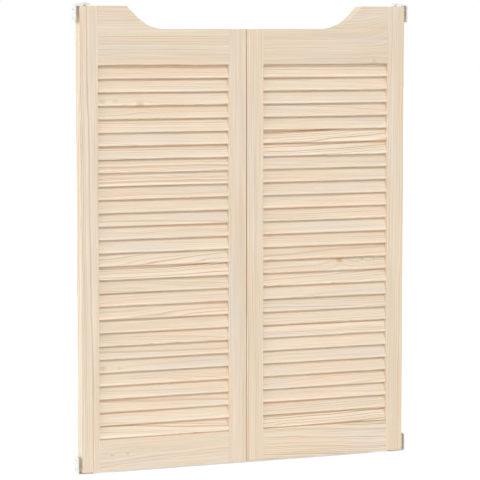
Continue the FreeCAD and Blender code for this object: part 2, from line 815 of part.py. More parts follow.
def make_shoe_screws(side):
    """The countersunk screws that hold the shoe up into the leaf."""
    blank = new_body("shoe_screw_blank")
    sink = "(shoe_screw_head - shoe_screw)"
    revolve(
        blank,
        [
            ("0", "0"),
            ("shoe_screw_head - screw_play", "0"),
            ("shoe_screw", f"{sink} - screw_play"),
            ("shoe_screw", "shoe_screw_long - shoe_screw_point"),
            ("0", "shoe_screw_long"),
        ],
    )
    places = [(f"{PIVOT} - {distance}", "0", LEAF_FOOT) for distance in SHOE_SCREWS]
    return copies(f"{side}_shoe_screws", blank, places)


def make_drop_pin(side):
    """The pin that is dropped through the upper bracket into the leaf's socket."""
    body = new_body(f"{side}_upper_pivot_pin")
    foot = "(-(plate_thick + head_gap + drop_reach))"
    revolve(
        body,
        [
            ("0", foot),
            ("pin_radius - pin_point", foot),
            ("pin_radius", f"{foot} + pin_point"),
            ("pin_radius", "0"),
            ("cap_radius", "0"),
            ("cap_radius", "cap_tall - cap_bevel"),
            ("cap_radius - cap_bevel", "cap_tall"),
            ("0", "cap_tall"),
        ],
    )
    place(body, x=PIVOT, z=f"{LEAF_HEAD} + head_gap + plate_thick")
    return body


def make_socket(side):
    """The flanged bush in the head of the outer stile."""
    body = new_body(f"{side}_upper_socket")
    revolve(
        body,
        [
            (PIN_BORE, "-socket_tall"),
            ("socket_radius", "-socket_tall"),
            ("socket_radius", "-socket_flange_thick"),
            ("socket_flange", "-socket_flange_thick"),
            ("socket_flange", "0"),
            (PIN_BORE, "0"),
        ],
    )
    place(body, x=PIVOT, z=LEAF_HEAD)
    return body


# ------------------------------------------------------------------ the pair of doors


def make_right_door():
    """Every piece of the right leaf and its pivots, as named objects."""
    side = "right"
    pin_sink = "(pin_head + pin_play)"
    upper_z = f"{LEAF_HEAD} + head_gap + plate_thick"
    return [
        make_outer_stile(side),
        make_meeting_stile(side),
        make_top_rail(side),
        make_bottom_rail(side),
        make_dowels(side),
        *make_slats(side),
        make_bracket(f"{side}_lower_bracket", "0", False, PIN_BORE, pin_sink),
        make_lower_pin(side),
        make_washer(side),
        make_shoe(side),
        make_bushes(side),
        make_spring(side),
        make_shoe_screws(side),
        make_bracket(f"{side}_upper_bracket", upper_z, True, PIN_BORE, None),
        make_drop_pin(side),
        make_socket(side),
    ]


def make_left_piece(piece):
    """The mirror image of a right-hand piece, across the middle of the doorway."""
    label = piece.Label.replace("right_", "left_", 1)
    image = doc.addObject("Part::Mirroring", label)
    image.Label = label
    image.Source = piece
    image.Normal = Vector(1, 0, 0)
    image.Base = Vector(0, 0, 0)
    return image


def check_objects():
    """Stops if any object of the document failed."""
    for item in doc.Objects:
        if {"Invalid", "Error"} & set(item.State):
            raise RuntimeError(f"{item.Name} is {item.State}")


def check_shape(piece):
    """Stops if a piece has no sound solid."""
    shape = piece.Shape
    if shape.isNull() or not shape.isValid() or not shape.Solids:
        raise RuntimeError(f"{piece.Label} has no sound solid")
    if min(solid.Volume for solid in shape.Solids) <= 0:
        raise RuntimeError(f"{piece.Label} is inside out")


right_pieces = make_right_door()
left_pieces = [make_left_piece(piece) for piece in right_pieces]
pieces = right_pieces + left_pieces
doc.recompute()

check_objects()
for piece in pieces:
    check_shape(piece)

os.makedirs("parts", exist_ok=True)
for piece in pieces:
    piece.Shape.exportStep(f"parts/{piece.Label}.step")
    box = piece.Shape.BoundBox
    print(
        f"{piece.Label}: {len(piece.Shape.Solids)} solid(s), {piece.Shape.Volume:.0f} mm3, "
        f"x {box.XMin:.1f} to {box.XMax:.1f}, y {box.YMin:.1f} to {box.YMax:.1f}, "
        f"z {box.ZMin:.1f} to {box.ZMax:.1f}"
    )
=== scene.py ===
"""Finish, light and camera for a pair of louvred pine cafe doors on sprung jamb pivots."""
import math
from collections import namedtuple

import bmesh
import bpy
import numpy as np
from bpy.props import FloatProperty, FloatVectorProperty, PointerProperty
from bpy.types import Operator, Panel, PropertyGroup
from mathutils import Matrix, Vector


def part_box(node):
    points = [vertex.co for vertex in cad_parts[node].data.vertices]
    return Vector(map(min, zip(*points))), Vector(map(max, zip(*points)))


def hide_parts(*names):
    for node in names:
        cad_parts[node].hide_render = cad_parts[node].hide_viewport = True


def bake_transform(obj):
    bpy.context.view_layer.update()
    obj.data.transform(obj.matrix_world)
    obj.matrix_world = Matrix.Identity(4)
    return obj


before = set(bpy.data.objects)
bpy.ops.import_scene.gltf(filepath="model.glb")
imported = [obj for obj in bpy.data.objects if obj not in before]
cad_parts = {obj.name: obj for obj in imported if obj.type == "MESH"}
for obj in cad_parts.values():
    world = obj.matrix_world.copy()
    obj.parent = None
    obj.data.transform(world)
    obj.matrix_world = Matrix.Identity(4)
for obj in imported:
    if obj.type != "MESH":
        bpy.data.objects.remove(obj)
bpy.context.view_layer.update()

bl_info = {
    "name": "Louvred Cafe Doors",
    "version": (1, 0, 0),
    "blender": (4, 5, 0),
    "location": "3D View > Sidebar > Cafe Doors",
    "description": "Pine, steel and acetal finishes for a pair of cafe doors, with a plain stage",
    "category": "Material",
}

SIDES = ("right", "left")
MM = 0.001
WHITE = (1.0, 1.0, 1.0, 1.0)

# Slats are counted from the top, two to a node.
SLAT_NODES = [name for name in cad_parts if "_slats_" in name]
TOP_PAIR_LOW, TOP_PAIR_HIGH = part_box("right_slats_01_02")
LAST_PAIR_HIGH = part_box("right_slats_27_28")[1]
SLATS = 28
SLAT_THICK = 6.4 * MM
SLAT_PITCH = (TOP_PAIR_HIGH.z - LAST_PAIR_HIGH.z) / (SLATS - 2)
SLAT_TALL = TOP_PAIR_HIGH.z - TOP_PAIR_LOW.z - SLAT_PITCH
SLAT_DEEP = TOP_PAIR_HIGH.y - TOP_PAIR_LOW.y
SLAT_TILT = math.atan2(SLAT_DEEP - SLAT_THICK, SLAT_TALL - SLAT_THICK)
FIRST_SLAT_Z = TOP_PAIR_HIGH.z - SLAT_TALL / 2
SLAT_Y = (TOP_PAIR_LOW.y + TOP_PAIR_HIGH.y) / 2

# The return spring: the radii of its coil, at the middle of the wire, and of the wire, the climb
# of one turn, the number of turns, the straight tang that stands up from the last one, and the
# radius of the pin that its foot crosses.
COIL_RADIUS = 5.5 * MM
WIRE_RADIUS = 0.7 * MM
COIL_PITCH = 2.6 * MM
COIL_TURNS = 14
TANG_TALL = 3.6 * MM
PIN_RADIUS = 4.0 * MM

# The spring's mesh: how far apart the rings of points along the wire are, the points of a ring,
# how often the corners are evened out, the rings over which the first direction across the wire
# swings from upright to level, and the rings left between that swing and the tang.
WIRE_STEP = 0.5 * MM
WIRE_SIDES = 12
CORNER_MEANS = 3
SWING_RINGS = 5
SWING_SHORT = 2

# Where a board was cut from its log, in millimetres: the heart of the log seen from the middle
# of the board (across its face, and through its thickness), the lean of the heart line, and a
# seed. Then how many times wider than usual its rings are, how many times stronger its ring
# lines and its changes of colour, and how much paler and how much deeper in colour it is.
Board = namedtuple("Board", "heart lean seed rings lines drift paler deeper")
BOARDS = {
    "left_outer_stile": Board((64, 18), (0.012, 0.004), 1.0, 1.3, 1.15, 0.8, 0.011, 0.03),
    "left_meeting_stile": Board((-90, 30), (0.006, 0.008), 2.0, 1.0, 0.55, 0.8, 0.005, 0.05),
    "right_meeting_stile": Board((48, 26), (0.010, -0.006), 3.0, 1.3, 0.75, 1.0, 0.095, 0.11),
    "right_outer_stile": Board((-70, 24), (-0.008, 0.006), 4.0, 1.2, 0.7, 1.0, 0.076, 0.10),
    "left_top_rail": Board((-110, 40), (-0.004, 0.004), 5.0, 0.8, 1.15, 0.7, 0.010, 0.03),
    "right_top_rail": Board((100, 34), (-0.008, 0.010), 6.0, 0.8, 0.75, 0.6, -0.003, 0.05),
    "left_bottom_rail": Board((-46, 30), (-0.030, 0.020), 7.0, 1.4, 0.5, 1.0, -0.046, -0.02),
    "right_bottom_rail": Board((70, 28), (0.040, 0.010), 8.0, 1.1, 1.7, 0.9, -0.029, -0.03),
}

# Knots that show on the front: place along the doorway, height and radius, in millimetres, and
# the share of knot colour at the middle. With a share of 0 the rings bend and nothing else shows.
Knot = namedtuple("Knot", "x z radius share")
KNOTS = {
    "left_slats": (
        Knot(-352, 854, 7.0, 0.30),
        Knot(-321, 855, 6.5, 0.26),
        Knot(-262, 849, 8.0, 0.40),
        Knot(-355, 243, 8.0, 0.36),
        Knot(-314, 242, 4.0, 0.28),
    ),
    "right_slats": (
        Knot(244, 470, 8.0, 0.60),
        Knot(303, 470, 3.0, 0.65),
        Knot(335, 469, 2.5, 0.70),
    ),
    "left_bottom_rail": (Knot(-334, 42, 4.5, 0.38), Knot(-296, 43, 4.0, 0.34)),
    "right_top_rail": (Knot(328, 944, 5.0, 0.28), Knot(385, 1022, 16.0, 0.0)),
}

# Slats with bold ring lines, by number from the top, and how much stronger than usual they are.
BOLD_SLATS = {
    "left": {5: 0.5, 7: 0.7, 8: 0.8, 9: 1.2, 10: 0.5, 15: 0.8, 16: 1.3, 19: 0.3, 28: 1.1},
    "right": {6: 1.0, 7: 1.1, 17: 0.6, 20: 0.6, 21: 1.05, 28: 0.9},
}


class PineSettings(PropertyGroup):
    """Colours and figure of the unfinished pine."""

    early: FloatVectorProperty(
        name="Early wood",
        description="Colour of the soft wood between two ring lines",
        subtype="COLOR",
        default=(0.868, 0.739, 0.585),
    )
    late: FloatVectorProperty(
        name="Late wood",
        description="Colour of the hard line at the end of each ring",
        subtype="COLOR",
        default=(0.670, 0.486, 0.312),
    )
    peach: FloatVectorProperty(
        name="Peach patches",
        description="Colour that the wood drifts to in its warm stretches",
        subtype="COLOR",
        default=(0.895, 0.715, 0.550),
    )
    ash: FloatVectorProperty(
        name="Pale patches",
        description="Colour that the wood drifts to in its cool stretches",
        subtype="COLOR",
        default=(0.835, 0.740, 0.625),
    )
    knot: FloatVectorProperty(
        name="Knots",
        description="Colour of the middle of a knot",
        subtype="COLOR",
        default=(0.600, 0.350, 0.125),
    )
    ring: FloatProperty(
        name="Ring width",
        description="Mean distance between two ring lines",
        unit="LENGTH",
        default=4.0 * MM,
        precision=4,
        min=0.5 * MM,
    )
    contrast: FloatProperty(
        name="Ring contrast",
        description="How strongly the ring lines show",
        subtype="FACTOR",
        default=0.85,
        min=0.0,
        max=1.0,
    )
    relief: FloatProperty(
        name="Grain relief",
        description="How far the ring lines stand above the sanded early wood",
        unit="LENGTH",
        default=0.12 * MM,
        precision=5,
        min=0.0,
    )


class HardwareSettings(PropertyGroup):
    """Colours of the pivots and of the pieces inside the frames."""

    enamel: FloatVectorProperty(
        name="Enamel",
        description="Colour of the powder coat on the brackets",
        subtype="COLOR",
        default=(0.88, 0.88, 0.865),
    )
    zinc: FloatVectorProperty(
        name="Zinc plate",
        description="Colour of the shoes and screws",
        subtype="COLOR",
        default=(0.60, 0.60, 0.585),
    )
    steel: FloatVectorProperty(
        name="Turned steel",
        description="Colour of the pivot pins",
        subtype="COLOR",
        default=(0.64, 0.64, 0.63),
    )
    spring: FloatVectorProperty(
        name="Spring wire",
        description="Colour of the oiled return springs",
        subtype="COLOR",
        default=(0.17, 0.165, 0.165),
    )
    acetal: FloatVectorProperty(
        name="Acetal",
        description="Colour of the bushes, sockets and washers",
        subtype="COLOR",
        default=(0.78, 0.76, 0.71),
    )
    beech: FloatVectorProperty(
        name="Beech",
        description="Colour of the dowels",
        subtype="COLOR",
        default=(0.62, 0.40, 0.235),
    )


class StageSettings(PropertyGroup):
    """Camera, lamps and floor."""

    camera_place: FloatVectorProperty(
        name="Camera place",
        description="Where the camera stands",
        subtype="XYZ",
        unit="LENGTH",
        default=(-2.1226, -5.1366, 1.0315),
    )
    camera_turn: FloatProperty(
        name="Camera turn",
        description="How far the camera looks to the right of straight ahead",
        subtype="ANGLE",
        default=math.radians(22.359),
    )
    camera_dip: FloatProperty(
        name="Camera dip",
        description="How far the camera looks below the horizon",
        subtype="ANGLE",
        default=math.radians(5.194),
    )
    camera_lens: FloatProperty(
        name="Focal length",
        description="Focal length in millimetres on a 36 mm frame",
        default=178.66,
        min=20.0,
    )
    horizon: FloatProperty(
        name="Horizon",
        description="Strength of the light that comes level from all round",
        default=1.03,
        min=0.0,
    )
    zenith: FloatProperty(
        name="Zenith",
        description="Strength of the light from straight above",
        default=0.30,
        min=0.0,
    )
    left_gain: FloatProperty(
        name="Left gain",
        description="How many times stronger the light from the far left is than from the right",
        default=1.5,
        min=0.0,
    )
    key_strength: FloatProperty(
        name="Key lamp",
        description="Strength of the soft light from above in front",
        default=0.92,
        min=0.0,
    )
    key_from: FloatVectorProperty(
        name="Key direction",
        description="Direction that the key light comes from",
        subtype="XYZ",
        default=(0.12, -0.77, 0.62),
    )
    key_colour: FloatVectorProperty(
        name="Key colour",
        description="Colour of the key light",
        subtype="COLOR",
        default=(1.0, 1.0, 1.0),
    )
    key_spread: FloatProperty(
        name="Key spread",
        description="Angle that the key lamp fills as the doors see it",
        subtype="ANGLE",
        default=math.radians(12),
    )
    side_strength: FloatProperty(
        name="Side lamp",
        description="Strength of the soft light from the left",
        default=1.41,
        min=0.0,
    )
    side_colour: FloatVectorProperty(
        name="Side colour",
        description="Colour of the side light",
        subtype="COLOR",
        default=(0.92, 1.0, 1.0),
    )
    side_from: FloatVectorProperty(
        name="Side direction",
        description="Direction that the side light comes from",
        subtype="XYZ",
        default=(-0.96, 0.0, 0.25),
    )
    side_spread: FloatProperty(
        name="Side spread",
        description="Angle that the side lamp fills as the doors see it",
        subtype="ANGLE",
        default=math.radians(60),
    )
    floor_size: FloatProperty(
        name="Floor size",
        description="Side of the square floor",
        unit="LENGTH",
        default=60.0,
        min=2.0,
    )


class CafeDoorSettings(PropertyGroup):
    """Everything a user would change."""

    pine: PointerProperty(type=PineSettings)
    hardware: PointerProperty(type=HardwareSettings)
    stage: PointerProperty(type=StageSettings)


class Sheet:
    """A node tree with short calls, each of which adds a node, feeds it and returns its output."""

    def __init__(self, tree):
        self.tree = tree

    def feed(self, socket, value):
        if isinstance(value, bpy.types.NodeSocket):
            self.tree.links.new(value, socket)
        else:
            socket.default_value = value

    def add(self, kind, inputs, out=0, **settings):
        node = self.tree.nodes.new(kind)
        for name, value in settings.items():
            setattr(node, name, value)
        for key, value in inputs.items():
            self.feed(node.inputs[key], value)
        return node.outputs[out]

    def end(self, kind, surface):
        """Adds the output node of a material or a world and feeds its surface."""
        output = self.tree.nodes.new(kind)
        self.feed(output.inputs["Surface"], surface)

    def math(self, operation, *values):
        return self.add("ShaderNodeMath", dict(enumerate(values)), operation=operation)

    def total(self, *values):
        result = values[0]
        for value in values[1:]:
            result = self.math("ADD", result, value)
        return result

    def scaled(self, value, factor, shift=0.0):
        return self.math("MULTIPLY_ADD", value, factor, shift)

    def between(self, value, low, high):
        """Lays a value from 0 to 1 out from low to high."""
        return self.scaled(value, high - low, low)

    def length(self, first, second):
        """Square root of the sum of two squares, and the sum itself."""
        squares = self.math("ADD", self.math("POWER", first, 2.0), self.math("POWER", second, 2.0))
        return self.math("SQRT", squares), squares

    def xyz(self, x, y, z):
        return self.add("ShaderNodeCombineXYZ", {"X": x, "Y": y, "Z": z})

    def split(self, vector):
        node = self.tree.nodes.new("ShaderNodeSeparateXYZ")
        self.feed(node.inputs[0], vector)
        return node.outputs[0], node.outputs[1], node.outputs[2]

    def noise(self, vector, detail, out="Fac"):
        inputs = {"Vector": vector, "Scale": 1.0, "Detail": detail}
        return self.add("ShaderNodeTexNoise", inputs, out)

    def line_noise(self, value):
        inputs = {"W": value, "Scale": 1.0, "Detail": 1.0}
        return self.add("ShaderNodeTexNoise", inputs, noise_dimensions="1D")

    def marks(self, point, to_a_mm, detail):
        """Noise with its own number of marks to a millimetre along each of the three axes."""
        axes = (self.scaled(axis, number) for axis, number in zip(point, to_a_mm))
        return self.noise(self.xyz(*axes), detail)

    def chance(self, value, out="Value"):
        return self.add("ShaderNodeTexWhiteNoise", {"W": value}, out, noise_dimensions="1D")

    def rise(self, value, start, end, low=0.0, high=1.0):
        """A smooth step from low, at start, to high, at end."""
        inputs = {
            "Value": value,
            "From Min": start,
            "From Max": end,
            "To Min": low,
            "To Max": high,
        }
        return self.add("ShaderNodeMapRange", inputs, interpolation_type="SMOOTHSTEP")

    def blend(self, share, first, second):
        """Colour from first, at share 0, to second, at share 1, and past it for a greater share."""
        inputs = {0: share, 6: first, 7: second}
        return self.add("ShaderNodeMix", inputs, 2, data_type="RGBA", clamp_factor=False)


def rgba(colour, strength=1.0):
    return (*(strength * part for part in colour), 1.0)


def new_material(name):
    """An empty node material and its sheet."""
    material = bpy.data.materials.new(name)
    material.use_nodes = True
    material.node_tree.nodes.clear()
    return material, Sheet(material.node_tree)


def close_material(sheet, colour, roughness, height, relief, **constants):
    """Ends a material in one Principled shader, bumped by height, 0 to 1, times relief metres."""
    normal = sheet.add("ShaderNodeBump", {"Strength": 1.0, "Distance": relief, "Height": height})
    inputs = {"Base Color": colour, "Roughness": roughness, "Normal": normal, **constants}
    sheet.end("ShaderNodeOutputMaterial", sheet.add("ShaderNodeBsdfPrincipled", inputs))


def place_in_frame(sheet):
    """The three coordinates of a point of the doors, in millimetres."""
    point = sheet.add("ShaderNodeTexCoord", {}, "Object")
    return [sheet.scaled(axis, 1 / MM) for axis in sheet.split(point)]


# Each pattern of the pine, in millimetres: how far one mark is drawn out along the grain, and how
# wide it is across it. The last says how many marks further along the next seed cuts its board.
WANDER = (260, 60)
RIPPLE = (48, 14)
FIBRE = (9, 0.5)
STREAK = (150, 3.4)
DRIFT = (300, 26)
SEED_STEP = 37.7

# How far the heart line wanders and the rings ripple to either side, in millimetres.
WANDER_REACH = 7.0
RIPPLE_REACH = 0.9

# How often the ring width changes in a millimetre, and by how many rings in all. Then the parts
# of a ring at which its line starts, is full, and begins and ends its drop, the hardness of the
# faintest line beside the hardest, and the most late wood that a line may show.
WIDTH_CHANGES, WIDTH_REACH = 0.07, 3.0
LINE_START, LINE_FULL, LINE_DROP, LINE_END = 0.45, 0.90, 0.94, 1.0
FAINTEST_LINE = 0.25
MOST_LATE = 1.5

# Where in their noise the peach and the pale patches begin and are full.
PEACH_RISE = (0.42, 0.72)
ASH_RISE = (0.45, 0.75)

# Tone that fibres, streaks and drifts add, lowest and highest, as shares of the colour, and what
# red, green and blue each take of it. Darker wood is warmer too, so green and blue take more.
FIBRE_TONE = (-0.03, 0.07)
STREAK_TONE = (-0.13, 0.13)
DRIFT_TONE = (-0.06, 0.06)
TONE_PARTS = (0.84, 1.05, 1.33)

# Relief of lines and of fibres as shares of the whole, the roughness that fibres give, lowest and
# highest, how much smoother the lines are, and the pine's plain shine.
LINE_RELIEF, FIBRE_RELIEF = 0.6, 0.4
PINE_ROUGHNESS = (0.56, 0.72)
LINE_POLISH = 0.08
PINE_SHINE = 0.35

# A knot: how many times longer than wide it is, how far out its bend of the rings reaches and how
# much it bends them, in radii, and the part of its radius that is all knot.
KNOT_OVAL = 1.7
BEND_REACH, BEND_DEPTH = 2.2, 1.4
KNOT_CORE = 0.2

# Paler carries the wood's own paler tone and, on slats, a painted highlight on the lower edge.
FIGURE_INPUTS = (
    "Along", "Across", "Depth", "Heart across", "Heart depth", "Lean across", "Lean depth", "Seed",
    "Rings", "Lines", "Drift", "Bulge", "Knot", "Paler", "Deeper",
)
FIGURE_OUTPUTS = {"Color": "Color", "Height": "Float", "Roughness": "Float"}


def pine_figure(pine):
    """Pine as a node group: rings are cylinders round the heart line of a log that is cut up.

    The ring count at a point is its distance from the heart line, which leans and wanders, over
    the ring width. What is left of the count after its whole number gives the place within a
    ring, light at first and then a hard line. Fibres and streaks are noise drawn out along the
    grain.
    """
    group = bpy.data.node_groups.get("pine_figure")
    if group:
        return group
    group = bpy.data.node_groups.new("pine_figure", "ShaderNodeTree")
    for name in FIGURE_INPUTS:
        group.interface.new_socket(name=name, in_out="INPUT", socket_type="NodeSocketFloat")
    for name, kind in FIGURE_OUTPUTS.items():
        group.interface.new_socket(name=name, in_out="OUTPUT", socket_type="NodeSocket" + kind)
    sheet = Sheet(group)
    given = group.nodes.new("NodeGroupInput").outputs
    along, across, depth = given["Along"], given["Across"], given["Depth"]
    offset = sheet.scaled(given["Seed"], SEED_STEP)

    def drawn_out(pattern):
        """Coordinates in which one unit is one mark of the pattern, along the grain and across."""
        mark_long, mark_wide = pattern
        return sheet.xyz(
            sheet.math("ADD", sheet.scaled(along, 1 / mark_long), offset),
            sheet.scaled(across, 1 / mark_wide),
            sheet.scaled(depth, 1 / mark_wide),
        )

    def from_heart(place, heart, lean, wandering):
        """How far a point is from the heart line, along one of the two ways across the grain."""
        return sheet.total(
            sheet.math("SUBTRACT", place, given[heart]),
            sheet.math("MULTIPLY", along, given[lean]),
            sheet.between(wandering, -WANDER_REACH, WANDER_REACH),
        )

    # The heart line leans and wanders, and the rings bulge out round a knot.
    wander = sheet.split(sheet.noise(drawn_out(WANDER), detail=2.0, out="Color"))
    ripple = sheet.noise(drawn_out(RIPPLE), detail=1.0)
    off_across = from_heart(across, "Heart across", "Lean across", wander[0])
    off_depth = from_heart(depth, "Heart depth", "Lean depth", wander[1])
    distance, _ = sheet.length(off_across, off_depth)
    rippled = sheet.between(ripple, -RIPPLE_REACH, RIPPLE_REACH)
    radius = sheet.total(distance, rippled, given["Bulge"])

    # Rings differ in width and in how hard their line is.
    uneven = sheet.line_noise(sheet.math("ADD", sheet.scaled(radius, WIDTH_CHANGES), offset))
    even = sheet.math("DIVIDE", sheet.scaled(radius, MM / pine.ring), given["Rings"])
    count = sheet.math("ADD", even, sheet.scaled(uneven, WIDTH_REACH))
    number = sheet.math("FLOOR", count)
    part = sheet.math("SUBTRACT", count, number)
    hardening = sheet.rise(part, LINE_START, LINE_FULL)
    line = sheet.math("MULTIPLY", hardening, sheet.rise(part, LINE_END, LINE_DROP))
    luck = sheet.chance(sheet.math("ADD", number, offset))
    late = sheet.math("MULTIPLY", line, sheet.rise(luck, 0.0, 1.0, FAINTEST_LINE, 1.0))
    late_share = sheet.math("MULTIPLY", sheet.scaled(late, pine.contrast), given["Lines"])
    late_share = sheet.math("MINIMUM", late_share, MOST_LATE)

    fibre = sheet.noise(drawn_out(FIBRE), detail=2.0)
    streak = sheet.noise(drawn_out(STREAK), detail=2.0)
    drift = sheet.split(sheet.noise(drawn_out(DRIFT), detail=1.0, out="Color"))

    peach_share = sheet.math("MULTIPLY", sheet.rise(drift[0], *PEACH_RISE), given["Drift"])
    ash_share = sheet.math("MULTIPLY", sheet.rise(drift[1], *ASH_RISE), given["Drift"])
    colour = sheet.blend(peach_share, rgba(pine.early), rgba(pine.peach))
    colour = sheet.blend(ash_share, colour, rgba(pine.ash))
    colour = sheet.blend(late_share, colour, rgba(pine.late))
    colour = sheet.blend(given["Knot"], colour, rgba(pine.knot))
    tone = sheet.total(
        sheet.between(fibre, *FIBRE_TONE),
        sheet.between(streak, *STREAK_TONE),
        sheet.between(drift[2], *DRIFT_TONE),
        sheet.scaled(given["Deeper"], -1.0),
    )
    warm = sheet.xyz(*(sheet.scaled(tone, share, 1.0) for share in TONE_PARTS))
    # The paler share holds a board's or slat's own paler tone and, on slats, the painted highlight
    # of the lower edge.
    paler = sheet.math("ADD", given["Paler"], 1.0)
    shade = sheet.add("ShaderNodeVectorMath", {0: colour, 1: warm}, operation="MULTIPLY")
    shade = sheet.add("ShaderNodeVectorMath", {0: shade, "Scale": paler}, operation="SCALE")

    polish = sheet.scaled(late, LINE_POLISH)
    result = group.nodes.new("NodeGroupOutput").inputs
    sheet.feed(result["Color"], shade)
    sheet.feed(
        result["Height"],
        sheet.total(sheet.scaled(late, LINE_RELIEF), sheet.scaled(fibre, FIBRE_RELIEF)),
    )
    sheet.feed(
        result["Roughness"],
        sheet.math("SUBTRACT", sheet.between(fibre, *PINE_ROUGHNESS), polish),
    )
    return group


def knots(sheet, places, x, z, along_is_x):
    """Bulge of the rings and share of knot wood from the knots that show on the front.

    The distance from a knot is measured with the grain direction shortened, so that a knot is an
    oval; the bulge falls off as a bell curve and the knot wood ends at the radius.
    """
    long_x, long_z = (KNOT_OVAL, 1.0) if along_is_x else (1.0, KNOT_OVAL)
    bulge, core = 0.0, 0.0
    for knot in places:
        run = sheet.scaled(x, 1 / long_x, -knot.x / long_x)
        climb = sheet.scaled(z, 1 / long_z, -knot.z / long_z)
        distance, squares = sheet.length(run, climb)
        bell = sheet.math("EXPONENT", sheet.scaled(squares, -1 / (BEND_REACH * knot.radius) ** 2))
        bulge = sheet.math("ADD", sheet.scaled(bell, BEND_DEPTH * knot.radius), bulge)
        wood = sheet.rise(distance, knot.radius, KNOT_CORE * knot.radius, 0.0, knot.share)
        core = sheet.math("MAXIMUM", wood, core)
    return bulge, core


def finish_pine(sheet, pine, figure_inputs):
    """Ends a pine material in the shared figure, with this board's own inputs."""
    node = sheet.tree.nodes.new("ShaderNodeGroup")
    node.node_tree = pine_figure(pine)
    for name, value in figure_inputs.items():
        sheet.feed(node.inputs[name], value)
    colour, height, roughness = (node.outputs[name] for name in FIGURE_OUTPUTS)
    constants = {"Specular IOR Level": PINE_SHINE}
    close_material(sheet, colour, roughness, height, pine.relief, **constants)


def board_material(node_name, pine, along_is_x):
    """Pine for one stile or rail, cut from its own place in the log."""
    material, sheet = new_material(node_name + "_pine")
    x, y, z = place_in_frame(sheet)
    low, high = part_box(node_name)
    middle = (low + high) / 2 / MM
    along, across = (x, z) if along_is_x else (z, x)
    middle_along, middle_across = (middle.x, middle.z) if along_is_x else (middle.z, middle.x)
    board = BOARDS[node_name]
    bulge, core = knots(sheet, KNOTS.get(node_name, ()), x, z, along_is_x)
    figure_inputs = {
        "Along": sheet.scaled(along, 1.0, -middle_along),
        "Across": sheet.scaled(across, 1.0, -middle_across),
        "Depth": y,
        "Heart across": board.heart[0],
        "Heart depth": board.heart[1],
        "Lean across": board.lean[0],
        "Lean depth": board.lean[1],
        "Seed": board.seed,
        "Rings": board.rings,
        "Lines": board.lines,
        "Drift": board.drift,
        "Bulge": bulge,
        "Knot": core,
        "Paler": board.paler,
        "Deeper": board.deeper,
    }
    finish_pine(sheet, pine, figure_inputs)
    return material


# Seed of each leaf's first slat. The others count up from it, so that no two slats share a log.
# The three after it are added to a slat's seed, one for each of its draws of chance.
SLAT_SEEDS = {"left": 40.0, "right": 80.0}
HEART_CHANCE, TONE_CHANCE, LEAN_CHANCE = 0.25, 0.5, 0.75

# Bounds of chance for a slat: how far the heart of its log lies to either side, past the least
# distance, and how deep, in millimetres, and the lean of the heart line in both directions.
HEART_ASIDE, HEART_LEAST = 70.0, 25.0
HEART_DEEP = (8.0, 42.0)
LEAN_ACROSS = (-0.05, 0.05)
LEAN_DEPTH = (-0.08, 0.08)

# Bounds of chance for a slat's ring lines, its ring width and how much paler it is.
SLAT_LINES = (0.65, 1.05)
SLAT_RINGS = (0.7, 1.3)
SLAT_PALER = (0.022, 0.057)

# A slat's rounded lower edge is made paler: partly paler sanded wood, partly a painted highlight
# where the edge faces the light. Where it starts and ends, in millimetres below the middle, and how
# much paler it gets.
NOSE_HIGHLIGHT_RISE = (15.0, 20.5)
NOSE_PAINTED_HIGHLIGHT = 0.12

# What bold lines do to a slat, for each unit of boldness, and how much deeper in colour a slat
# with none is.
BOLD_RINGS = 0.12
BOLD_PALER = -0.035
BOLD_DEEPER = -0.09
PLAIN_DEEPER = 0.045


